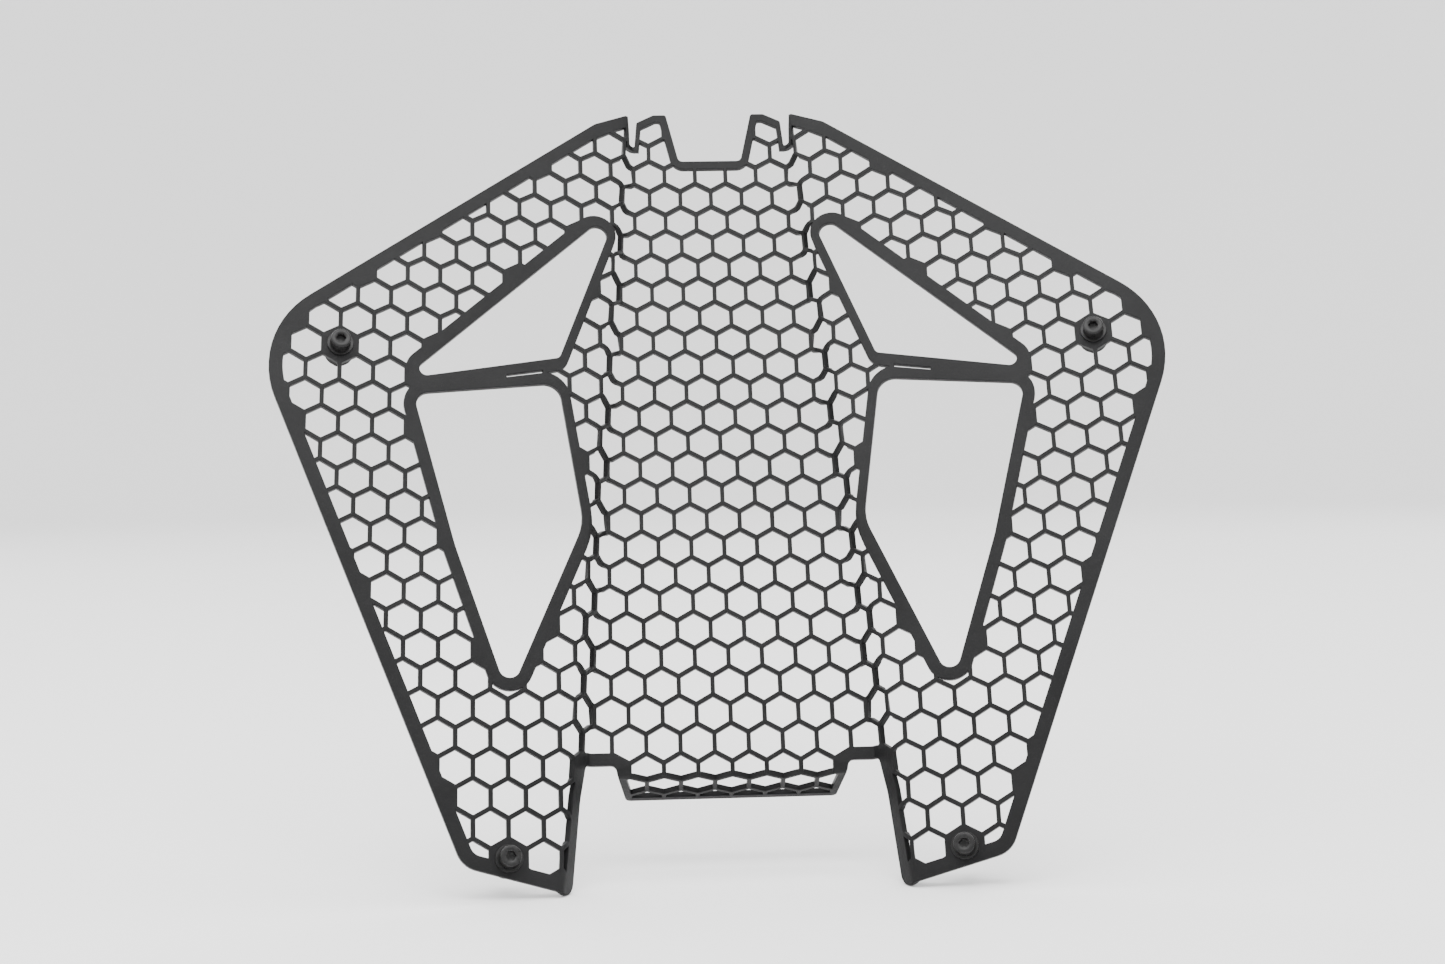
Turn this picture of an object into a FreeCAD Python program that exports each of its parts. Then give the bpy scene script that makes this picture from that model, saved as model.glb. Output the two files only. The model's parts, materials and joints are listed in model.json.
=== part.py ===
import FreeCAD
import Part
import math
import os

import Sketcher
from FreeCAD import Placement, Rotation, Vector

# Driving dimensions, in millimetres and degrees
DIMENSIONS = {
    "sheet_thickness": 2.0,
    "cell_opening": 10.0,
    "strut_width": 1.5,
    "smallest_cell_area": 10.0,
    "bend_radius": 1.0,
    "wall_fold_offset": 30.0,
    "wall_fold_taper": 4.5,
    "wall_fold_angle": 63.0,
    "wing_fold_offset": 35.4,
    "wing_fold_taper": 6.0,
    "wing_fold_angle": 51.0,
    "flap_fold_drop": 230.0,
    "flap_fold_angle": 78.0,
    "flap_half_width": 36.0,
    "flap_length": 20.0,
    "lean_angle": 24.6,
    "upper_pad_column": 12.0,
    "upper_pad_row": 8.0,
    "lower_pad_column": 7.0,
    "lower_pad_row": 26.0,
    "pad_hole_diameter": 4.5,
    "screw_diameter": 4.0,
    "screw_length": 16.0,
    "screw_end_chamfer": 0.5,
    "thread_diameter": 3.55,
    "thread_length": 6.8,
    "head_diameter": 7.0,
    "head_height": 4.0,
    "head_chamfer": 0.4,
    "socket_across_flats": 3.0,
    "socket_depth": 2.2,
    "washer_diameter": 9.0,
    "washer_bore": 4.4,
    "washer_thickness": 0.8,
    "spacer_diameter": 10.0,
    "spacer_bore": 4.6,
    "spacer_length": 6.0,
}

# Steps that stand for the round of a bend
BEND_STEPS = 2
# A corner of the mesh border is left sharp up to this radius
SHARP_UP_TO = 4.0
# Two points closer than this are one point
SAME = 1e-5
# The flat sheet reaches no further than this from its middle
FAR = 400.0

# The flat outline's right half: across, up the sheet, corner radius,
# and the solid border inside the edge that starts there
OUTLINE = [
    (11.7, 6.0, 2.0, 3.0),
    (16.2, 26.5, 1.0, 3.0),
    (21.0, 26.5, 2.0, 3.0),
    (27.4, 23.2, 1.0, 1.8),
    (28.3, 12.5, 0.6, 1.8),
    (31.2, 12.5, 0.6, 1.8),
    (32.9, 24.3, 1.0, 4.8),
    (46.0, 18.9, 6.0, 4.8),
    (169.0, -77.0, 34.0, 4.7),
    (95.4, -261.5, 9.0, 4.7),
    (56.6, -271.4, 4.5, 5.0),
    (53.2, -239.0, 20.0, 5.0),
    (50.0, -226.4, 2.5, 4.3),
    (39.1, -226.4, 2.0, 2.5),
]
NOTCH_BORDER = 3.4
FLAP_BORDER = 2.5

# Apertures on the right wing: across, up the sheet, corner radius, rim width
UPPER_APERTURE = [
    (37.2, -14.8, 3.7, 4.7),
    (116.3, -91.5, 2.6, 5.0),
    (61.0, -79.6, 2.2, 3.4),
]
LOWER_APERTURE = [
    (61.5, -89.6, 6.0, 5.0),
    (112.7, -96.9, 4.7, 4.3),
    (98.0, -152.5, 60.0, 4.3),
    (80.2, -205.1, 3.6, 4.5),
    (53.6, -142.3, 18.0, 3.4),
]

# The narrow slot in the bar between the apertures
BAR_SLOT = [
    (67.2, -85.0, 0.0, 0.0),
    (72.0, -86.0, 0.0, 0.0),
    (80.0, -87.6, 0.0, 0.0),
    (80.0, -88.5, 0.0, 0.0),
    (67.2, -86.0, 0.0, 0.0),
]


def make_sizes(doc):
    """The spreadsheet with one named cell for each driving dimension."""
    sizes = doc.addObject("Spreadsheet::Sheet", "sizes")
    for row, (name, value) in enumerate(DIMENSIONS.items(), start=1):
        sizes.set(f"A{row}", name)
        sizes.set(f"B{row}", str(value))
        sizes.setAlias(f"B{row}", name)
    doc.recompute()
    return sizes


# Outlines drawn flat

def mirrored_outline(half, closing_border):
    """The whole outline from its right half, clockwise from the notch."""
    borders = [closing_border] + [corner[3] for corner in half[:-1]]
    left = []
    for (across, up, radius, _), border in zip(half, borders):
        left.append((-across, up, radius, border))
    return half + left[::-1]


def inset_outline(corners, factor=1.0):
    """Each edge moved inwards by its own border; a factor of -1 moves it outwards."""
    lines = []
    for start, end in zip(corners, corners[1:] + corners[:1]):
        along = Vector(end[0] - start[0], end[1] - start[1], 0).normalize()
        inwards = Vector(along.y, -along.x, 0)
        border = factor * start[3]
        lines.append((Vector(start[0], start[1], 0) + inwards * border, along, border))
    moved = []
    for before, after, corner in zip(lines[-1:] + lines[:-1], lines, corners):
        cross = before[1].x * after[1].y - before[1].y * after[1].x
        gap = after[0] - before[0]
        reach = (gap.x * after[1].y - gap.y * after[1].x) / cross
        point = before[0] + before[1] * reach
        border = (before[2] + after[2]) / 2
        hollow = cross > 0
        radius = corner[2] + border if hollow else corner[2] - border
        moved.append((point.x, point.y, radius if radius > SHARP_UP_TO else 0.0, corner[3]))
    return moved


def rounded_wire(corners):
    """A closed wire through the corners, each rounded by its own radius or left sharp at none."""
    points = [Vector(corner[0], corner[1], 0) for corner in corners]
    edges = []
    starts = []
    ends = []
    for index, point in enumerate(points):
        back = (points[index - 1] - point).normalize()
        onward = (points[(index + 1) % len(points)] - point).normalize()
        half_angle = back.getAngle(onward) / 2
        radius = corners[index][2]
        reach = radius / math.tan(half_angle)
        inwards = (back + onward).normalize()
        middle = point + inwards * (radius / math.sin(half_angle) - radius)
        starts.append(point + back * reach)
        ends.append(point + onward * reach)
        if radius:
            edges.append(Part.Arc(starts[-1], middle, ends[-1]).toShape())
    for end, start in zip(ends, starts[1:] + starts[:1]):
        edges.append(Part.LineSegment(end, start).toShape())
    return Part.Wire(Part.__sortEdges__(edges))


def hexagon(centre, across_flats):
    """A hexagonal face with two of its sides upright."""
    radius = across_flats / math.sqrt(3)
    points = []
    for corner in range(7):
        turn = math.radians(30 + 60 * corner)
        points.append(centre + Vector(math.cos(turn), math.sin(turn), 0) * radius)
    return Part.Face(Part.makePolygon(points))


def lattice_point(sizes, column, row):
    """The place of a cell's centre; odd rows sit on half columns."""
    pitch = sizes.cell_opening + sizes.strut_width
    return Vector(column * pitch, -row * pitch * math.sqrt(3) / 2, 0)


def lattice_cells(sizes):
    """Every cell of the regular lattice that can meet the sheet."""
    cells = []
    for row in range(-3, 28):
        shift = 0.5 if row % 2 else 0.0
        for column in range(-15, 16):
            centre = lattice_point(sizes, column + shift, row)
            cells.append(hexagon(centre, sizes.cell_opening))
    return cells


def pad_points(sizes):
    """The two cells on the right wing that stay solid for a screw."""
    return [
        lattice_point(sizes, sizes.upper_pad_column, sizes.upper_pad_row),
        lattice_point(sizes, sizes.lower_pad_column, sizes.lower_pad_row),
    ]


def with_mirror(shape):
    """A flat shape and its twin on the left."""
    return [shape, shape.mirror(Vector(0, 0, 0), Vector(1, 0, 0))]


def outline_corners(sizes):
    """The flat outline with the flap below the bottom fold."""
    flap_corner = (sizes.flap_half_width, -sizes.flap_fold_drop - sizes.flap_length, 2.0, FLAP_BORDER)
    return mirrored_outline(OUTLINE + [flap_corner], NOTCH_BORDER)


def mesh_region(sizes, corners):
    """Where the lattice is cut: inside the borders, clear of the rims and pads."""
    solid = []
    for aperture in (UPPER_APERTURE, LOWER_APERTURE):
        solid += with_mirror(Part.Face(rounded_wire(inset_outline(aperture, -1.0))))
    pitch = sizes.cell_opening + sizes.strut_width
    for point in pad_points(sizes):
        solid += with_mirror(hexagon(point, pitch))
    return Part.Face(rounded_wire(inset_outline(corners))).cut(solid)


def flat_blank(sizes):
    """The sheet as it is cut, before it is folded."""
    corners = outline_corners(sizes)
    cut_cells = mesh_region(sizes, corners).common(Part.Compound(lattice_cells(sizes)))
    openings = [cell for cell in cut_cells.Faces if cell.Area > sizes.smallest_cell_area]
    for form in (UPPER_APERTURE, LOWER_APERTURE, BAR_SLOT):
        openings += with_mirror(Part.Face(rounded_wire(form)))
    for point in pad_points(sizes):
        hole = Part.Circle(point, Vector(0, 0, 1), sizes.pad_hole_diameter / 2).toShape()
        openings += with_mirror(Part.Face(Part.Wire(hole)))
    return Part.Face(rounded_wire(corners)).cut(openings)


# Folds

class Fold:
    """A bend along a straight line of the flat sheet.

    The stretch outside the line turns; `forwards` says whether it comes
    towards the front. The front faces' sharp corner lies on the line."""

    def __init__(self, sizes, origin, along, angle, forwards):
        self.origin = origin
        self.along = along.normalize()
        self.across = self.along.cross(Vector(0, 0, 1))
        self.angle = angle
        self.thickness = sizes.sheet_thickness
        front_radius = sizes.bend_radius + (0 if forwards else self.thickness)
        self.half_width = front_radius * math.tan(math.radians(angle / 2))
        self.sense = -1 if forwards else 1
        self.centre = origin - self.across * self.half_width + Vector(0, 0, -self.sense * front_radius)

    def offset(self, point):
        """How far a flat point lies outside the fold line."""
        return (point - self.origin).dot(self.across)

    def edge(self, step):
        """The offset of a step's edge, from the near end of the bend."""
        return self.half_width * (2 * step / BEND_STEPS - 1)

    def turned(self, step):
        """The movement of the sheet after some steps of the bend."""
        turn = Rotation(self.along, self.sense * self.angle * step / BEND_STEPS)
        return Placement(Vector(), turn, self.centre)

    def outside(self):
        """The movement of the flat stretch beyond the bend."""
        return Placement(Vector(), Rotation(self.along, self.sense * self.angle), self.origin)

    def band(self, near, far):
        """A flat face between two offsets, as long as the sheet."""
        corners = [(near, -FAR), (far, -FAR), (far, FAR), (near, FAR), (near, -FAR)]
        points = [self.origin + self.across * out + self.along * run for out, run in corners]
        return Part.Face(Part.makePolygon(points))

    def bend(self, point, depth, step):
        """A flat point of one step, and its depth in the sheet, on the bend."""
        out = self.offset(point)
        near = self.edge(step)
        share = (out - near) / (self.edge(step + 1) - near)
        start = point - self.across * (out + self.half_width) + Vector(0, 0, -depth)
        first = self.turned(step).multVec(start)
        last = self.turned(step + 1).multVec(start)
        return first + (last - first) * share

    def holds(self, start, end, out):
        """Whether a flat edge lies on the line at this offset."""
        return abs(self.offset(start) - out) < SAME and abs(self.offset(end) - out) < SAME


def wire_points(wire):
    """The corners of a wire in order, with points along its arcs."""
    points = []
    for edge in wire.OrderedEdges:
        straight = edge.Curve.TypeId == "Part::GeomLine"
        count = 2 if straight else 4
        run = edge.discretize(count)
        if edge.Orientation == "Reversed" and (run[0] - edge.valueAt(edge.FirstParameter)).Length < SAME:
            run = run[::-1]
        points += run[:-1]
    return points


def side_faces(start, end, deep_end, deep_start):
    """The edge face between two points and their twins on the back."""
    normal = (end - start).cross(deep_end - start).normalize()
    if abs((deep_start - start).dot(normal)) < SAME:
        return [Part.Face(Part.makePolygon([start, end, deep_end, deep_start, start]))]
    return [
        Part.Face(Part.makePolygon([start, end, deep_end, start])),
        Part.Face(Part.makePolygon([start, deep_end, deep_start, start])),
    ]


def bent_skin(blank, fold):
    """The front, back and edge faces of the sheet along a bend."""
    faces = []
    for step in range(BEND_STEPS):
        limits = (fold.edge(step), fold.edge(step + 1))
        for piece in blank.common(fold.band(*limits)).Faces:
            rims = [wire_points(wire) for wire in piece.Wires]
            for depth in (0, fold.thickness):
                wires = []
                for rim in rims:
                    bent = [fold.bend(point, depth, step) for point in rim + rim[:1]]
                    wires.append(Part.makePolygon(bent))
                faces.append(Part.Face(wires))
            for rim in rims:
                for start, end in zip(rim, rim[1:] + rim[:1]):
                    if any(fold.holds(start, end, limit) for limit in limits):
                        continue
                    front = [fold.bend(point, 0, step) for point in (start, end)]
                    back = [fold.bend(point, fold.thickness, step) for point in (end, start)]
                    faces += side_faces(*front, *back)
    return faces


def flat_skin(region, thickness, borders):
    """The front, back and edge faces of a flat stretch, open where it goes on into a bend."""
    deep = Vector(0, 0, -thickness)
    faces = []
    for piece in region.Faces:
        faces += [piece, piece.translated(deep)]
        for edge in piece.Edges:
            ends = [vertex.Point for vertex in edge.Vertexes]
            start, end = ends[0], ends[-1]
            if not any(fold.holds(start, end, out) for fold, out in borders):
                faces.append(edge.extrude(deep))
    return faces


def moved(faces, placement):
    """Faces carried along by a movement of the sheet."""
    return [face.transformed(placement.Matrix) for face in faces]


def panel_folds(sizes):
    """The folds of the right half, and the left twin of the first."""
    wall_taper = math.radians(sizes.wall_fold_taper)
    wing_taper = math.radians(sizes.wing_fold_taper)
    wall_start = Vector(sizes.wall_fold_offset, 0, 0)
    wall_line = Vector(-math.sin(wall_taper), math.cos(wall_taper), 0)
    wing_start = Vector(sizes.wing_fold_offset, 0, 0)
    wing_line = Vector(-math.sin(wing_taper), math.cos(wing_taper), 0)
    flap_start = Vector(0, -sizes.flap_fold_drop, 0)
    left_line = Vector(wall_line.x, -wall_line.y, 0)
    return {
        "wall": Fold(sizes, wall_start, wall_line, sizes.wall_fold_angle, True),
        "left_wall": Fold(sizes, -wall_start, left_line, sizes.wall_fold_angle, True),
        "wing": Fold(sizes, wing_start, wing_line, sizes.wing_fold_angle, False),
        "flap": Fold(sizes, flap_start, Vector(1, 0, 0), sizes.flap_fold_angle, False),
    }


def sewn_solid(faces):
    """The solid that the faces close."""
    skin = Part.Compound(faces)
    skin.sewShape()
    solid = Part.Solid(skin.Shells[0])
    if solid.Volume < 0:
        solid.reverse()
    return solid


def folded_panel(sizes):
    """One solid: the flat blank, folded on its five lines."""
    blank = flat_blank(sizes)
    thickness = sizes.sheet_thickness
    folds = panel_folds(sizes)
    wall_fold, left_fold, wing_fold, flap_fold = folds.values()
    wall_edge = wall_fold.half_width
    wing_edge = wing_fold.half_width
    flap_edge = flap_fold.half_width

    middle = blank.cut([wall_fold.band(-wall_edge, FAR), left_fold.band(-wall_edge, FAR)])
    centre = middle.cut(flap_fold.band(-flap_edge, FAR))
    flap = middle.common(flap_fold.band(flap_edge, FAR))
    wall = blank.common(wall_fold.band(wall_edge, FAR)).cut(wing_fold.band(-wing_edge, FAR))
    wing = blank.common(wing_fold.band(wing_edge, FAR))

    centre_borders = [(wall_fold, -wall_edge), (left_fold, -wall_edge), (flap_fold, -flap_edge)]
    faces = flat_skin(centre, thickness, centre_borders)
    faces += bent_skin(middle, flap_fold)
    faces += moved(flat_skin(flap, thickness, [(flap_fold, flap_edge)]), flap_fold.outside())

    side = flat_skin(wall, thickness, [(wall_fold, wall_edge), (wing_fold, -wing_edge)])
    side += bent_skin(blank, wing_fold)
    side += moved(flat_skin(wing, thickness, [(wing_fold, wing_edge)]), wing_fold.outside())
    side = bent_skin(blank, wall_fold) + moved(side, wall_fold.outside())
    for face in side:
        faces += with_mirror(face)
    return sewn_solid(faces)


# Pieces turned about their own axis

def draw_profile(sketch, corners):
    """A closed profile; each corner is named by its distance from the axis and its height."""
    values = []
    for across, height in corners:
        values.append([0.0 if text is None else sketch.evalExpression(text) for text in (across, height)])
    points = [Vector(float(x), float(y), 0) for x, y in values]
    for start, end in zip(points, points[1:] + points[:1]):
        sketch.addGeometry(Part.LineSegment(start, end), False)
    for index, (across, height) in enumerate(corners):
        following = (index + 1) % len(corners)
        sketch.addConstraint(Sketcher.Constraint("Coincident", index, 2, following, 1))
        for kind, axis, text, value in (
            ("DistanceX", -2, across, points[index].x),
            ("DistanceY", -1, height, points[index].y),
        ):
            if text is None:
                sketch.addConstraint(Sketcher.Constraint("PointOnObject", index, 1, axis))
            else:
                number = sketch.addConstraint(Sketcher.Constraint(kind, -1, 1, index, 1, value))
                sketch.setExpression(f"Constraints[{number}]", text)


def origin_plane(body, role):
    """One of a body's own origin planes."""
    return next(feature for feature in body.Origin.OriginFeatures if feature.Role == role)


def new_sketch(body, name, role):
    """A sketch on one of a body's origin planes."""
    sketch = body.newObject("Sketcher::SketchObject", name)
    sketch.AttachmentSupport = [(origin_plane(body, role), "")]
    sketch.MapMode = "FlatFace"
    return sketch


def turned_body(doc, label, corners):
    """A body made by one full turn of a profile about its upright axis."""
    body = doc.addObject("PartDesign::Body", label)
    body.Label = label
    profile = new_sketch(body, f"{label}_profile", "XZ_Plane")
    doc.recompute()
    draw_profile(profile, corners)
    turn = body.newObject("PartDesign::Revolution", f"{label}_turn")
    turn.Profile = profile
    turn.ReferenceAxis = (profile, ["V_Axis"])
    turn.Angle = 360.0
    doc.recompute()
    return body


def make_screw(doc, label):
    """A cap screw that stands on its free end; the thread is a plain cylinder of its pitch diameter."""
    shank = "sizes.screw_diameter / 2"
    thread = "sizes.thread_diameter / 2"
    narrow = "sizes.thread_diameter / 2 - sizes.screw_end_chamfer"
    head = "sizes.head_diameter / 2"
    crown = "sizes.head_diameter / 2 - sizes.head_chamfer"
    top = "sizes.screw_length + sizes.head_height"
    shoulder = "sizes.screw_length + sizes.head_height - sizes.head_chamfer"
    body = turned_body(doc, label, [
        (None, None),
        (narrow, None),
        (thread, "sizes.screw_end_chamfer"),
        (thread, "sizes.thread_length"),
        (shank, "sizes.thread_length"),
        (shank, "sizes.screw_length"),
        (head, "sizes.screw_length"),
        (head, shoulder),
        (crown, top),
        (None, top),
    ])
    socket = new_sketch(body, f"{label}_socket_outline", "XY_Plane")
    socket.setExpression("AttachmentOffset.Base.z", top)
    doc.recompute()
    draw_hexagon(socket, "sizes.socket_across_flats / sqrt(3)")
    pocket = body.newObject("PartDesign::Pocket", f"{label}_socket")
    pocket.Profile = socket
    pocket.setExpression("Length", "sizes.socket_depth")
    doc.recompute()
    return body


def draw_hexagon(sketch, radius_text):
    """A regular hexagon on a construction circle."""
    radius = float(sketch.evalExpression(radius_text))
    points = []
    for corner in range(6):
        turn = math.radians(60 * corner)
        points.append(Vector(radius * math.cos(turn), radius * math.sin(turn), 0))
    for start, end in zip(points, points[1:] + points[:1]):
        sketch.addGeometry(Part.LineSegment(start, end), False)
    circle = sketch.addGeometry(Part.Circle(Vector(0, 0, 0), Vector(0, 0, 1), radius), True)
    sketch.addConstraint(Sketcher.Constraint("Coincident", circle, 3, -1, 1))
    for side in range(6):
        sketch.addConstraint(Sketcher.Constraint("Coincident", side, 2, (side + 1) % 6, 1))
        sketch.addConstraint(Sketcher.Constraint("PointOnObject", side, 1, circle))
    for side in range(5):
        sketch.addConstraint(Sketcher.Constraint("Equal", side, side + 1))
    sketch.addConstraint(Sketcher.Constraint("PointOnObject", 0, 1, -1))
    size = sketch.addConstraint(Sketcher.Constraint("Radius", circle, radius))
    sketch.setExpression(f"Constraints[{size}]", radius_text)


def make_ring(doc, label, bore, diameter, height):
    """A flat ring that stands on its lower face."""
    inner = f"sizes.{bore} / 2"
    outer = f"sizes.{diameter} / 2"
    top = f"sizes.{height}"
    return turned_body(doc, label, [(inner, None), (outer, None), (outer, top), (inner, top)])


# Places

def pad_places(sizes):
    """Where each screw pad's front face lies after folding, its height pointing out of the front."""
    folds = panel_folds(sizes)
    wing = folds["wall"].outside().multiply(folds["wing"].outside())
    places = {}
    for name, point in zip(("upper", "lower"), pad_points(sizes)):
        centre = wing.multVec(point)
        outwards = wing.Rotation.multVec(Vector(0, 0, 1))
        for side, factor in (("right", 1), ("left", -1)):
            direction = Vector(factor * outwards.x, outwards.y, outwards.z)
            base = Vector(factor * centre.x, centre.y, centre.z)
            places[f"{name}_{side}"] = Placement(base, Rotation(Vector(0, 0, 1), direction))
    return places


def place_pieces(sizes, panel, hardware):
    """Lean the panel back and set the middle of the whole on the origin."""
    lean = Placement(Vector(), Rotation(Vector(1, 0, 0), 90 - sizes.lean_angle))
    panel.Placement = lean
    for piece, local in hardware:
        piece.Placement = lean.multiply(local)
    pieces = [panel] + [piece for piece, _ in hardware]
    box = FreeCAD.BoundBox()
    for piece in pieces:
        box.add(piece.Shape.optimalBoundingBox(False, False))
    shift = Placement(-box.Center, Rotation())
    for piece in pieces:
        piece.Placement = shift.multiply(piece.Placement)


def make_hardware(doc, sizes):
    """A screw, a washer and a spacer at each pad, with their places on the flat frame."""
    hardware = []
    for name, pad in pad_places(sizes).items():
        washer = make_ring(doc, f"washer_{name}", "washer_bore", "washer_diameter", "washer_thickness")
        hardware.append((washer, pad))
        screw = make_screw(doc, f"screw_{name}")
        drop = sizes.washer_thickness - sizes.screw_length
        hardware.append((screw, pad.multiply(Placement(Vector(0, 0, drop), Rotation()))))
        spacer = make_ring(doc, f"spacer_{name}", "spacer_bore", "spacer_diameter", "spacer_length")
        drop = -sizes.sheet_thickness - sizes.spacer_length
        hardware.append((spacer, pad.multiply(Placement(Vector(0, 0, drop), Rotation()))))
    return hardware


def make_panel(doc, sizes):
    """The folded honeycomb sheet."""
    panel = doc.addObject("Part::Feature", "guard_panel")
    panel.Label = "guard_panel"
    panel.Shape = folded_panel(sizes)
    return panel


def check(doc, pieces):
    """Stop before anything is written if an object or a shape has failed."""
    for item in doc.Objects:
        if "Invalid" in item.State or "Error" in item.State:
            raise RuntimeError(f"{item.Name} did not build: {item.State}")
    for piece in pieces:
        if piece.Shape.isNull() or not piece.Shape.isValid() or len(piece.Shape.Solids) != 1:
            raise RuntimeError(f"{piece.Label} is not one valid solid")


def main():
    doc = FreeCAD.newDocument("headlight_guard")
    sizes = make_sizes(doc)
    panel = make_panel(doc, sizes)
    hardware = make_hardware(doc, sizes)
    doc.recompute()
    place_pieces(sizes, panel, hardware)
    doc.recompute()
    pieces = [panel] + [piece for piece, _ in hardware]
    check(doc, pieces)
    os.makedirs("parts", exist_ok=True)
    for piece in pieces:
        piece.Shape.exportStep(f"parts/{piece.Label}.step")
    print("pieces", len(pieces), "panel faces", len(panel.Shape.Faces))


main()
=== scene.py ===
import json
import math

import bmesh
import bpy
from mathutils import Matrix, Quaternion, Vector


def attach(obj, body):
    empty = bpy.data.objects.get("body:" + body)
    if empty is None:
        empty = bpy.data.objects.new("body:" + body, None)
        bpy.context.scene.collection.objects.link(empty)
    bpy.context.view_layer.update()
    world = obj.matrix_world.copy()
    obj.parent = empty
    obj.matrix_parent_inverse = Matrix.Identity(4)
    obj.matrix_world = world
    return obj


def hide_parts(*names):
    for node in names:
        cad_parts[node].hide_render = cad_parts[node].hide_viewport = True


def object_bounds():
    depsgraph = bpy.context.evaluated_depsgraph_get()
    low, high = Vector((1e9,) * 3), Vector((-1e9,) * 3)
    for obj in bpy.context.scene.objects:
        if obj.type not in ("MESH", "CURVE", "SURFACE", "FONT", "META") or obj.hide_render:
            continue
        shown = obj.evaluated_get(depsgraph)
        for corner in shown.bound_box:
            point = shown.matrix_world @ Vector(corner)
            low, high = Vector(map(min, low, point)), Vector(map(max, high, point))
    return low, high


# A folded honeycomb guard, with the screws, washers and bushes that hold it.
# Lengths are in metres and angles in degrees, unless a line says otherwise.
MM = 0.001

# The camera stands where the photograph was taken from; its lens and sensor are in millimetres
CAMERA_PLACE = Vector((-0.0315, -0.7035, 0.0272))
CAMERA_ROLL = -1.05
CAMERA_LENS = 50.0
CAMERA_SENSOR = 36.0
CAMERA_AIM_DROP = 0.004

# Points of the sheet closer than this are one
WELD = 0.06 * MM
# The sheet turns by more than this where its skin meets a cut wall
RIM_ANGLE = 70.0
# The round on the sheet's cut edges, and the share it keeps each time it is too large
EDGE_ROUND = 0.22 * MM
ROUND_KEPT = 0.7
# A corner of a rim moves at most this many rounds, and a face of the skin tips at most this far
MITRE_LIMIT = 1.6
TIP_LIMIT = 20.0
# Faces that meet at more than these angles are shaded with a sharp edge
SHEET_SHARP_ANGLE = 50.0
HARDWARE_SHARP_ANGLE = 40.0
# Large faces lead in blended normals, on a scale up to 100
LARGE_FACE_WEIGHT = 100

# The three points across a round, counted from the skin to the cut wall
SKIN_END = 0
WALL_END = 2
# How far the middle one lies along the way in and the way down, as a share of the round
ROUND_MIDDLE = 1 - math.sqrt(0.5)

# The stack at a pad, measured along the screw's axis from the pad's front face
SHEET = 2.0 * MM
WASHER_THICKNESS = 0.8 * MM
WASHER_RADIUS = 4.5 * MM
WASHER_BORE_RADIUS = 2.2 * MM
WASHER_ROUND_BELOW = 0.08 * MM
WASHER_ROUND_ABOVE = 0.18 * MM
SPACER_LENGTH = 6.0 * MM
SPACER_RADIUS = 5.0 * MM
SPACER_BORE_RADIUS = 2.3 * MM
SPACER_ROUND = 0.5 * MM
MOUNT_BEHIND_SPACER = 3.55 * MM
RING_SEGMENTS = 72
CORNER_STEPS = 3

# The cap screw's shank, threaded where it stands free
SCREW_LENGTH = 16.0 * MM
SHANK_RADIUS = 2.0 * MM
SHANK_POINT = 0.5 * MM
THREAD_RADIUS = 1.95 * MM
THREAD_PITCH = 0.7 * MM
THREAD_DEPTH = 0.38 * MM
THREAD_LENGTH = 6.8 * MM
# Rings in one pitch of the thread, and points in a ring
THREAD_STEPS = 8
THREAD_SEGMENTS = 36
# The flats of the crest and the root, in shares of the pitch
THREAD_CREST = 0.125
THREAD_ROOT = 0.25

# The cap screw's head
HEAD_RADIUS = 3.5 * MM
HEAD_HEIGHT = 4.0 * MM
HEAD_CHAMFER = 0.4 * MM
HEAD_FOOT_ROUND = 0.2 * MM
# How far in and up the middle of the foot's round lies, as a share of the round
FOOT_ROUND_MIDDLE = 0.3
KNURLS = 36
SAMPLES_PER_KNURL = 4
HEAD_SEGMENTS = KNURLS * SAMPLES_PER_KNURL
KNURL_DEPTH = 0.13 * MM
KNURL_FADE = 0.25 * MM
SHOULDER_KNURL_DEPTH = 0.6 * KNURL_DEPTH
# The crown above the shoulder, inwards and down from the top in shares of the chamfer
CROWN = ((0.55, 0.25), (1.0, 0.1), (1.3, 0.0))

# The hexagon socket
SOCKET_ACROSS_FLATS = 3.0 * MM
SOCKET_DEPTH = 2.2 * MM
SOCKET_POINT = 0.5 * MM
SOCKET_MOUTH_RADIUS = 1.85 * MM
SOCKET_BEVEL_SLOPE = math.tan(math.radians(30))
SOCKET_SECTOR = math.pi / 3

# A noise keeps mostly between these two values
NOISE_LOW = 0.3
NOISE_HIGH = 0.7

# The studio, a pale bowl that looks the same from every side
FLOOR_RADIUS = 2.2
WALL_ROUND = 0.9
WALL_HEIGHT = 1.3
WALL_STEPS = 12
STUDIO_SEGMENTS = 96
SKY_COLOUR = (1.0, 1.0, 1.0, 1.0)
SKY_STRENGTH = 1.9

# Each light's name, place, size, power in watts and the point that it shines at
MIDDLE = (0, 0, 0)
UPPER_MIDDLE = (0, 0, 0.1)
LIGHTS = (
    ("key_light", (-0.1, -0.45, 0.75), (1.0, 0.4), 9, UPPER_MIDDLE),
    ("side_light", (-1.5, -0.3, 0.6), (0.8, 0.8), 5, MIDDLE),
    ("fill_light", (1.5, -0.5, 0.6), (0.9, 0.9), 4, MIDDLE),
    ("top_light", (0.1, 0.5, 1.6), (1.6, 0.6), 14, MIDDLE),
    ("back_light_left", (-1.2, 1.1, 0.8), (0.8, 0.8), 8, MIDDLE),
    ("back_light_right", (1.2, 1.2, 0.7), (0.8, 0.8), 6, MIDDLE),
)


# Mesh helpers

def new_object(name, data):
    """An object of the scene that carries this data."""
    thing = bpy.data.objects.new(name, data)
    bpy.context.scene.collection.objects.link(thing)
    return thing


def new_piece(name, mesh, material):
    """An object of the scene that carries a mesh and its material."""
    piece = new_object(name, mesh)
    mesh.materials.append(material)
    return piece


def new_mesh(name, form):
    """A form kept as a mesh."""
    mesh = bpy.data.meshes.new(name)
    form.to_mesh(mesh)
    form.free()
    return mesh


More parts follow.
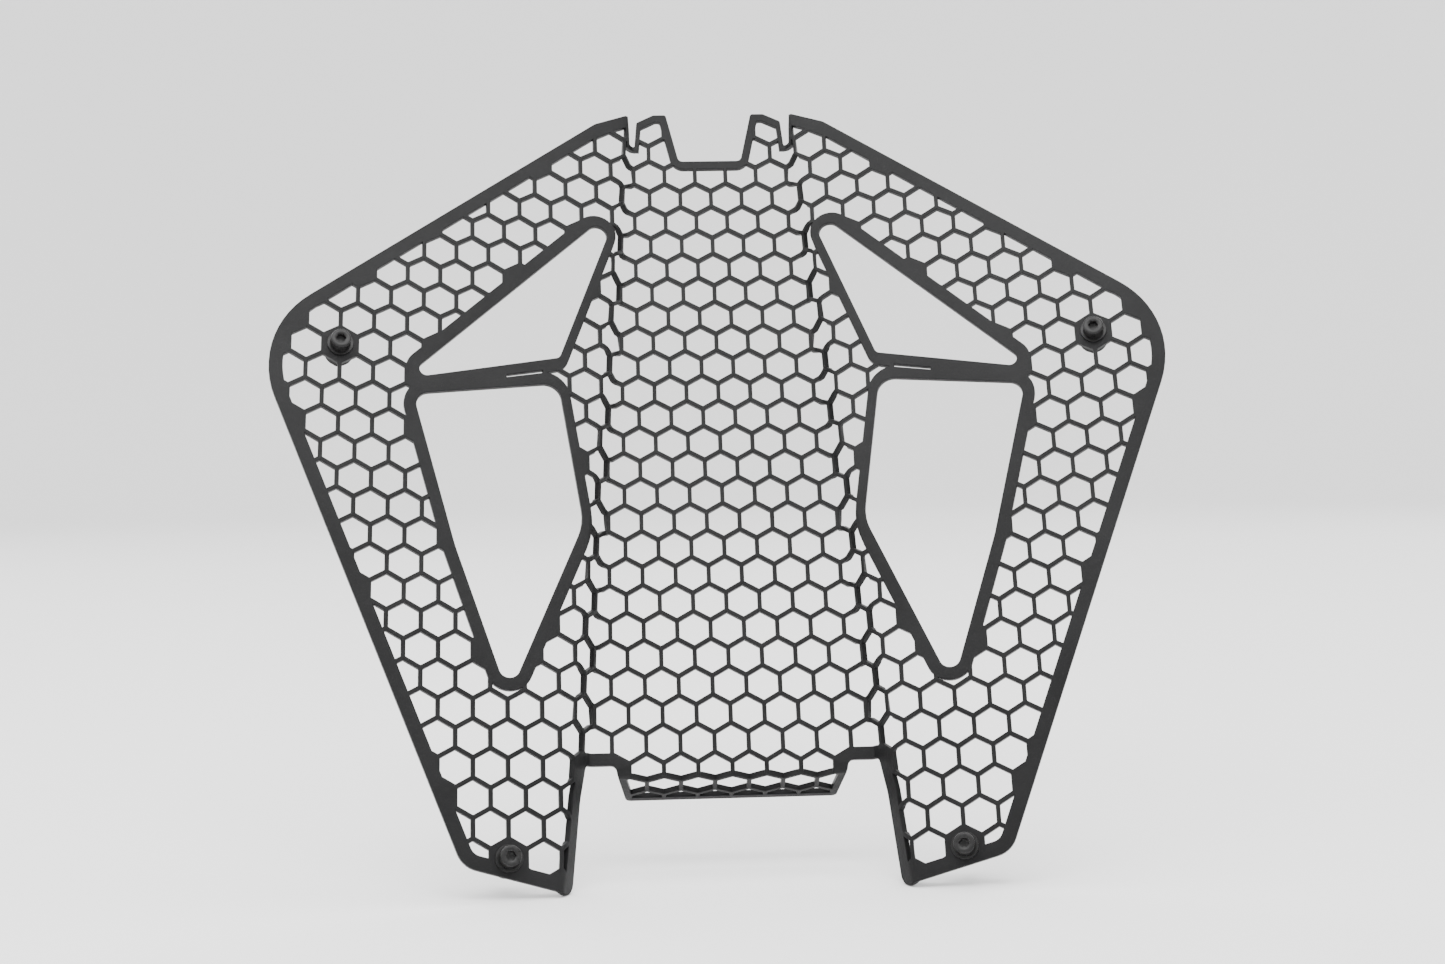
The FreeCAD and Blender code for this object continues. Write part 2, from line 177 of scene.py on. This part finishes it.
def polar(radius, turn, height):
    """The point at a radius, a turn in radians and a height."""
    return Vector((radius * math.cos(turn), radius * math.sin(turn), height))


def circle(radius, height, segments):
    """The points of a level circle."""
    return [polar(radius, 2 * math.pi * index / segments, height) for index in range(segments)]


def stretch(ring, index, count):
    """The points that bound one of a ring's equal sectors; a lone point bounds them all."""
    if len(ring) == 1:
        return ring
    share = len(ring) // count
    return [ring[(index * share + step) % len(ring)] for step in range(share + 1)]


def form_of_rings(rings, comes_round=False):
    """A skin through rings of points. An end may be one point, a ring may be finer than the next,
    and the last ring may join the first."""
    form = bmesh.new()
    rows = [[form.verts.new(point) for point in ring] for ring in rings]
    if comes_round:
        rows.append(rows[0])
    for lower, upper in zip(rows, rows[1:]):
        count = min(len(row) for row in (lower, upper) if len(row) > 1)
        for index in range(count):
            form.faces.new(stretch(lower, index, count) + stretch(upper, index, count)[::-1])
    return form


def closed_mesh(name, rings, comes_round=False):
    """A closed skin through rings of points, facing outwards."""
    form = form_of_rings(rings, comes_round)
    bmesh.ops.recalc_face_normals(form, faces=form.faces)
    return new_mesh(name, form)


def shade(mesh, sharp_angle):
    """Smooth faces with sharp edges where they meet at more than this angle."""
    mesh.shade_smooth()
    mesh.set_sharp_from_angle(angle=math.radians(sharp_angle))


def weigh_normals(piece):
    """Flat faces keep their own normals and the small rounds blend between them."""
    modifier = piece.modifiers.new("weighted_normals", "WEIGHTED_NORMAL")
    modifier.keep_sharp = True
    modifier.weight = LARGE_FACE_WEIGHT


# Materials

def new_material(name):
    """A node material with its shader and the object's own coordinates."""
    material = bpy.data.materials.new(name)
    material.use_nodes = True
    nodes = material.node_tree.nodes
    shader = nodes["Principled BSDF"]
    place = nodes.new("ShaderNodeTexCoord")
    return material, shader, place.outputs["Object"]


def new_node(material, kind, values):
    """A node with some of its inputs set."""
    node = material.node_tree.nodes.new(kind)
    for name, value in values.items():
        node.inputs[name].default_value = value
    return node


def join(material, value, socket):
    """Feed a value to a socket."""
    material.node_tree.links.new(value, socket)


def noise_of(material, place, scale, detail=2.0, roughness=0.5):
    """The value of a noise whose features are about 1 / scale metres."""
    values = {"Scale": scale, "Detail": detail, "Roughness": roughness}
    node = new_node(material, "ShaderNodeTexNoise", values)
    join(material, place, node.inputs["Vector"])
    return node.outputs["Fac"]


def ramp_of(material, noise, low, high):
    """A colour that goes from one to another with a noise."""
    node = new_node(material, "ShaderNodeValToRGB", {})
    stops = ((NOISE_LOW, low), (NOISE_HIGH, high))
    for element, (at, colour) in zip(node.color_ramp.elements, stops):
        element.position = at
        element.color = (*colour, 1.0)
    join(material, noise, node.inputs["Fac"])
    return node.outputs["Color"]


def range_of(material, noise, low, high):
    """A value that goes from one to another with a noise."""
    values = {"From Min": NOISE_LOW, "From Max": NOISE_HIGH, "To Min": low, "To Max": high}
    node = new_node(material, "ShaderNodeMapRange", values)
    join(material, noise, node.inputs["Value"])
    return node.outputs["Result"]


def bump_of(material, noise, height, strength, before=None):
    """A bump of this height, laid over an earlier one."""
    node = new_node(material, "ShaderNodeBump", {"Distance": height, "Strength": strength})
    join(material, noise, node.inputs["Height"])
    if before is not None:
        join(material, before, node.inputs["Normal"])
    return node.outputs["Normal"]


def powder_coat():
    """Satin black powder coat: a fine even grain over a faint orange peel."""
    material, shader, place = new_material("powder_coat")
    tone = noise_of(material, place, scale=35, detail=3)
    colour = ramp_of(material, tone, low=(0.007, 0.007, 0.0073), high=(0.011, 0.011, 0.0114))
    join(material, colour, shader.inputs["Base Color"])
    grain = noise_of(material, place, scale=2200, detail=2, roughness=0.6)
    peel = noise_of(material, place, scale=420, detail=1)
    join(material, range_of(material, grain, low=0.32, high=0.5), shader.inputs["Roughness"])
    relief = bump_of(material, peel, height=0.1 * MM, strength=0.6)
    relief = bump_of(material, grain, height=0.09 * MM, strength=0.8, before=relief)
    join(material, relief, shader.inputs["Normal"])
    shader.inputs["IOR"].default_value = 1.2
    return material


def black_steel():
    """Black oxide on steel with a trace of oil."""
    material, shader, place = new_material("black_steel")
    tone = noise_of(material, place, scale=900, detail=3)
    colour = ramp_of(material, tone, low=(0.007, 0.007, 0.0068), high=(0.012, 0.0118, 0.012))
    join(material, colour, shader.inputs["Base Color"])
    join(material, range_of(material, tone, low=0.26, high=0.40), shader.inputs["Roughness"])
    grain = noise_of(material, place, scale=6000)
    relief = bump_of(material, grain, height=0.01 * MM, strength=0.5)
    join(material, relief, shader.inputs["Normal"])
    shader.inputs["IOR"].default_value = 1.3
    return material


def spacer_rubber():
    """Matt moulded rubber."""
    material, shader, place = new_material("spacer_rubber")
    tone = noise_of(material, place, scale=700, detail=3)
    colour = ramp_of(material, tone, low=(0.008, 0.008, 0.008), high=(0.014, 0.014, 0.0135))
    join(material, colour, shader.inputs["Base Color"])
    join(material, range_of(material, tone, low=0.72, high=0.86), shader.inputs["Roughness"])
    grain = noise_of(material, place, scale=4000)
    relief = bump_of(material, grain, height=0.03 * MM, strength=0.5)
    join(material, relief, shader.inputs["Normal"])
    shader.inputs["IOR"].default_value = 1.25
    return material


def studio_paint():
    """The pale, matt floor and wall."""
    material, shader, place = new_material("studio_paint")
    tone = noise_of(material, place, scale=1.5)
    colour = ramp_of(material, tone, low=(0.86, 0.86, 0.86), high=(0.88, 0.88, 0.88))
    join(material, colour, shader.inputs["Base Color"])
    shader.inputs["Roughness"].default_value = 0.9
    return material


# The sheet

def welded_form(node):
    """The CAD node's triangles as one closed form."""
    form = bmesh.new()
    form.from_mesh(node.data)
    bmesh.ops.remove_doubles(form, verts=form.verts, dist=WELD)
    form.normal_update()
    return form


def skin_faces(form):
    """The front and back faces of the sheet: the two largest groups that no rim divides."""
    groups = []
    free = set(form.faces)
    while free:
        group = {free.pop()}
        fresh = list(group)
        while fresh:
            for edge in fresh.pop().edges:
                if edge.calc_face_angle() < math.radians(RIM_ANGLE):
                    reached = free.intersection(edge.link_faces)
                    free -= reached
                    group |= reached
                    fresh += reached
        groups.append(group)
    groups.sort(key=lambda group: sum(face.calc_area() for face in group))
    front_and_back = groups[-1] | groups[-2]
    return [face for face in form.faces if face in front_and_back]


def rim_loops(skin):
    """Each side of a skin face that is a rim, where the skin turns into a cut wall."""
    members = set(skin)
    loops = []
    for face in skin:
        loops += [loop for loop in face.loops if loop.link_loop_radial_next.face not in members]
    return loops


def rim_ways(skin, loops):
    """For each point on a rim, the way into the skin and the way down the cut wall."""
    normals = {}
    for face in skin:
        for corner in face.loops:
            normals[corner.vert] = normals.get(corner.vert, Vector()) + face.normal * corner.calc_angle()
    inwards = {}
    for loop in loops:
        after = loop.link_loop_next.vert
        inward = loop.face.normal.cross((after.co - loop.vert.co).normalized())
        inwards.setdefault(loop.vert, []).append(inward)
        inwards.setdefault(after, []).append(inward)
    ways = {}
    for point, (first, second) in inwards.items():
        mitre = (first + second).normalized() * min(MITRE_LIMIT, 2 / (first + second).length)
        ways[point] = (mitre, -normals[point].normalized())
    return ways


def tips_over(face, ways, sizes):
    """Whether a skin face would tip too far once its corners have moved into the skin."""
    first, second, third = [point.co + ways[point][0] * sizes[point] for point in face.verts]
    normal = (second - first).cross(third - first).normalized()
    return normal.dot(face.normal) < math.cos(math.radians(TIP_LIMIT))


def round_sizes(skin, ways):
    """The size of the round at each point, smaller where a fold line runs close beside a rim."""
    sizes = dict.fromkeys(ways, EDGE_ROUND)
    tight = skin
    while tight:
        tight = [face for face in skin if tips_over(face, ways, sizes)]
        for point in {point for face in tight for point in face.verts}:
            sizes[point] *= ROUND_KEPT
    return sizes


def round_places(point, ways, size):
    """Where the round touches the skin, its middle and where it touches the wall."""
    across, down = (way * size for way in ways)
    return point.co + across, point.co + (across + down) * ROUND_MIDDLE, point.co + down


def softened_mesh(node):
    """The folded sheet with its cut edges rounded as a coat of powder leaves them."""
    form = welded_form(node)
    skin = skin_faces(form)
    loops = rim_loops(skin)
    ways = rim_ways(skin, loops)
    sizes = round_sizes(skin, ways)
    soft = bmesh.new()
    rounds = {}
    for point in ways:
        places = round_places(point, ways[point], sizes[point])
        rounds[point] = [soft.verts.new(place) for place in places]
    members = set(skin)
    for face in form.faces:
        side = SKIN_END if face in members else WALL_END
        soft.faces.new([rounds[point][side] for point in face.verts])
    for loop in loops:
        start = rounds[loop.vert]
        end = rounds[loop.link_loop_next.vert]
        for level in range(SKIN_END, WALL_END):
            soft.faces.new([end[level], start[level], start[level + 1], end[level + 1]])
    form.free()
    mesh = new_mesh("honeycomb_sheet", soft)
    shade(mesh, SHEET_SHARP_ANGLE)
    return mesh


def make_sheet(frame, coat):
    """The honeycomb sheet in place of the CAD one."""
    piece = new_piece("honeycomb_sheet", softened_mesh(frame["nodes"]["guard_panel"]), coat)
    weigh_normals(piece)
    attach(piece, "root")
    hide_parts("guard_panel")


# The hardware, drawn with the pad's front face at height 0 and the head above it

def knurled_circle(height, depth):
    """A circle of the head with grooves this deep."""
    points = []
    for index in range(HEAD_SEGMENTS):
        turn = 2 * math.pi * index / HEAD_SEGMENTS
        groove = 0.5 - 0.5 * math.cos(2 * math.pi * index / SAMPLES_PER_KNURL)
        points.append(polar(HEAD_RADIUS - groove * depth, turn, height))
    return points


def socket_ring(height, slope=0.0):
    """The hexagon of the socket; at the mouth's bevel its flats lie lower than its corners."""
    points = []
    for index in range(HEAD_SEGMENTS):
        turn = 2 * math.pi * index / HEAD_SEGMENTS
        off_flat = turn % SOCKET_SECTOR - SOCKET_SECTOR / 2
        radius = SOCKET_ACROSS_FLATS / 2 / math.cos(off_flat)
        drop = (SOCKET_MOUTH_RADIUS - radius) * slope
        points.append(polar(radius, turn, height - drop))
    return points


def head_rings():
    """The knurled cap head from its underside up, and down into its hexagon socket."""
    low = WASHER_THICKNESS
    top = low + HEAD_HEIGHT
    shoulder = top - HEAD_CHAMFER
    foot = low + HEAD_FOOT_ROUND
    bite = HEAD_FOOT_ROUND * FOOT_ROUND_MIDDLE
    rings = [
        circle(HEAD_RADIUS - HEAD_FOOT_ROUND, low, HEAD_SEGMENTS),
        circle(HEAD_RADIUS - bite, low + bite, HEAD_SEGMENTS),
        knurled_circle(foot, 0.0),
        knurled_circle(foot + KNURL_FADE, KNURL_DEPTH),
        knurled_circle(shoulder - KNURL_FADE, KNURL_DEPTH),
        knurled_circle(shoulder, SHOULDER_KNURL_DEPTH),
    ]
    for inward, drop in CROWN:
        radius = HEAD_RADIUS - HEAD_CHAMFER * inward
        rings.append(circle(radius, top - HEAD_CHAMFER * drop, HEAD_SEGMENTS))
    rings += [
        circle(SOCKET_MOUTH_RADIUS, top, HEAD_SEGMENTS),
        socket_ring(top, SOCKET_BEVEL_SLOPE),
        socket_ring(top - SOCKET_DEPTH),
        [Vector((0, 0, top - SOCKET_DEPTH - SOCKET_POINT))],
    ]
    return rings


def thread_depth(phase):
    """How deep the thread is cut at a share of one pitch."""
    off_crest = abs(phase % 1.0 - 0.5) * 2
    down_flank = (off_crest - THREAD_CREST) / (1 - THREAD_CREST - THREAD_ROOT)
    return THREAD_DEPTH * min(max(down_flank, 0.0), 1.0)


def shank_rings():
    """The shank from its tip up, threaded where it stands free and plain inside the stack."""
    tip = WASHER_THICKNESS - SCREW_LENGTH
    steps = int(THREAD_LENGTH / THREAD_PITCH * THREAD_STEPS)
    rings = [[Vector((0, 0, tip))]]
    for step in range(steps):
        up = THREAD_LENGTH * step / steps
        height = tip + up
        fade = min((steps - step) / THREAD_STEPS, 1.0)
        limit = THREAD_RADIUS - max(0.0, SHANK_POINT - up)
        ring = []
        for index in range(THREAD_SEGMENTS):
            turned = index / THREAD_SEGMENTS
            depth = thread_depth(height / THREAD_PITCH - turned) * fade
            ring.append(polar(min(THREAD_RADIUS - depth, limit), 2 * math.pi * turned, height))
        rings.append(ring)
    rings.append(circle(SHANK_RADIUS, tip + THREAD_LENGTH, THREAD_SEGMENTS))
    rings.append(circle(SHANK_RADIUS, WASHER_THICKNESS, THREAD_SEGMENTS))
    return rings


def rounded_profile(inner, outer, low, high, round_low, round_high):
    """A rectangle of (radius, height) points with its four corners rounded."""
    corners = (
        (outer - round_low, low + round_low, round_low, 270),
        (outer - round_high, high - round_high, round_high, 0),
        (inner + round_high, high - round_high, round_high, 90),
        (inner + round_low, low + round_low, round_low, 180),
    )
    profile = []
    for across, height, radius, start in corners:
        for step in range(CORNER_STEPS + 1):
            turn = math.radians(start + 90 * step / CORNER_STEPS)
            profile.append((across + radius * math.cos(turn), height + radius * math.sin(turn)))
    return profile


def turned_ring(name, profile):
    """A ring turned from a closed profile of (radius, height) points."""
    rings = [circle(radius, height, RING_SEGMENTS) for radius, height in profile]
    return closed_mesh(name, rings, comes_round=True)


def screw_mesh():
    """The cap screw, one skin from the tip of the shank to the floor of the socket."""
    return closed_mesh("screw", shank_rings() + head_rings())


def washer_mesh():
    """The stamped washer, with its sharper edges against the sheet."""
    profile = rounded_profile(
        WASHER_BORE_RADIUS, WASHER_RADIUS, 0.0, WASHER_THICKNESS, WASHER_ROUND_BELOW, WASHER_ROUND_ABOVE
    )
    return turned_ring("washer", profile)


def spacer_mesh():
    """The moulded rubber bush behind the sheet."""
    low = -SHEET - SPACER_LENGTH
    profile = rounded_profile(SPACER_BORE_RADIUS, SPACER_RADIUS, low, -SHEET, SPACER_ROUND, SPACER_ROUND)
    return turned_ring("spacer", profile)


def put_in_place(name, mesh, pad, material, node):
    """A hardware piece set on its pad, standing for the CAD one."""
    mesh = mesh.copy()
    mesh.transform(pad)
    piece = new_piece(name, mesh, material)
    weigh_normals(piece)
    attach(piece, "root")
    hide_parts(node)


def pad_frame(mount):
    """Where a pad's front face lies, its height pointing out of the front."""
    axis = Vector(mount["axis"]).normalized()
    behind = MOUNT_BEHIND_SPACER + SPACER_LENGTH + SHEET
    place = Vector(mount["pos_m"]) - axis * behind
    turn = (-axis).to_track_quat("Z", "Y")
    return Matrix.Translation(place) @ turn.to_matrix().to_4x4()


def make_hardware(frame, steel, rubber):
    """The screw, washer and spacer of each pad."""
    screw = screw_mesh()
    washer = washer_mesh()
    spacer = spacer_mesh()
    for mesh in (screw, washer, spacer):
        shade(mesh, HARDWARE_SHARP_ANGLE)
    for mount in frame["record"]["mounts"]:
        corner = mount["name"].replace("_screw_end", "")
        pad = pad_frame(mount)
        put_in_place(f"cap_screw_{corner}", screw, pad, steel, f"screw_{corner}")
        put_in_place(f"flat_washer_{corner}", washer, pad, steel, f"washer_{corner}")
        put_in_place(f"rubber_bush_{corner}", spacer, pad, rubber, f"spacer_{corner}")


# The studio

def make_studio(floor_height):
    """A pale floor that curves up into a round wall."""
    rings = [[Vector((0, 0, floor_height))]]
    for step in range(WALL_STEPS + 1):
        turn = math.radians(90 * step / WALL_STEPS)
        radius = FLOOR_RADIUS + WALL_ROUND * math.sin(turn)
        height = floor_height + WALL_ROUND * (1 - math.cos(turn))
        rings.append(circle(radius, height, STUDIO_SEGMENTS))
    rings.append(circle(FLOOR_RADIUS + WALL_ROUND, floor_height + WALL_HEIGHT, STUDIO_SEGMENTS))
    mesh = new_mesh("studio", form_of_rings(rings))
    mesh.shade_smooth()
    studio = new_piece("studio", mesh, studio_paint())


def add_light(name, place, size, power, target):
    """A soft area light that shines at a point."""
    lamp = bpy.data.lights.new(name, "AREA")
    lamp.shape = "RECTANGLE"
    lamp.size, lamp.size_y = size
    lamp.energy = power
    light = new_object(name, lamp)
    light.location = place
    light.rotation_euler = (Vector(target) - Vector(place)).to_track_quat("-Z", "Y").to_euler()
    light.visible_camera = False


def make_lights():
    """Large soft lights round the object and a pale sky."""
    for light in LIGHTS:
        add_light(*light)
    world = bpy.data.worlds.new("pale_sky")
    world.use_nodes = True
    sky = world.node_tree.nodes["Background"]
    sky.inputs["Color"].default_value = SKY_COLOUR
    sky.inputs["Strength"].default_value = SKY_STRENGTH
    bpy.context.scene.world = world


def make_camera(target):
    """The photograph's viewpoint, aimed at the object."""
    data = bpy.data.cameras.new("camera")
    data.lens = CAMERA_LENS
    data.sensor_width = CAMERA_SENSOR
    camera = new_object("camera", data)
    camera.location = CAMERA_PLACE
    aim = (target - CAMERA_PLACE).to_track_quat("-Z", "Y")
    camera.rotation_mode = "QUATERNION"
    camera.rotation_quaternion = aim @ Quaternion((0, 0, 1), math.radians(CAMERA_ROLL))
    bpy.context.scene.camera = camera


with open("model.json") as file:
    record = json.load(file)
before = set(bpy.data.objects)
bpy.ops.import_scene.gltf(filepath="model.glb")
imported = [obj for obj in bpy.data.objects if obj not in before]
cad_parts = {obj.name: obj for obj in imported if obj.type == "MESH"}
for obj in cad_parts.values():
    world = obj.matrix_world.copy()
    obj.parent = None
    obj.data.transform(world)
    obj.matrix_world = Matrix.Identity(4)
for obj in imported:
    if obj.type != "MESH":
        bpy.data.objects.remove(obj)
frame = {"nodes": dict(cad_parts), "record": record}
cad_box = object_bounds()
make_sheet(frame, powder_coat())
make_hardware(frame, black_steel(), spacer_rubber())
make_studio(cad_box[0].z)
make_lights()
make_camera((cad_box[0] + cad_box[1]) / 2 - Vector((0, 0, CAMERA_AIM_DROP)))
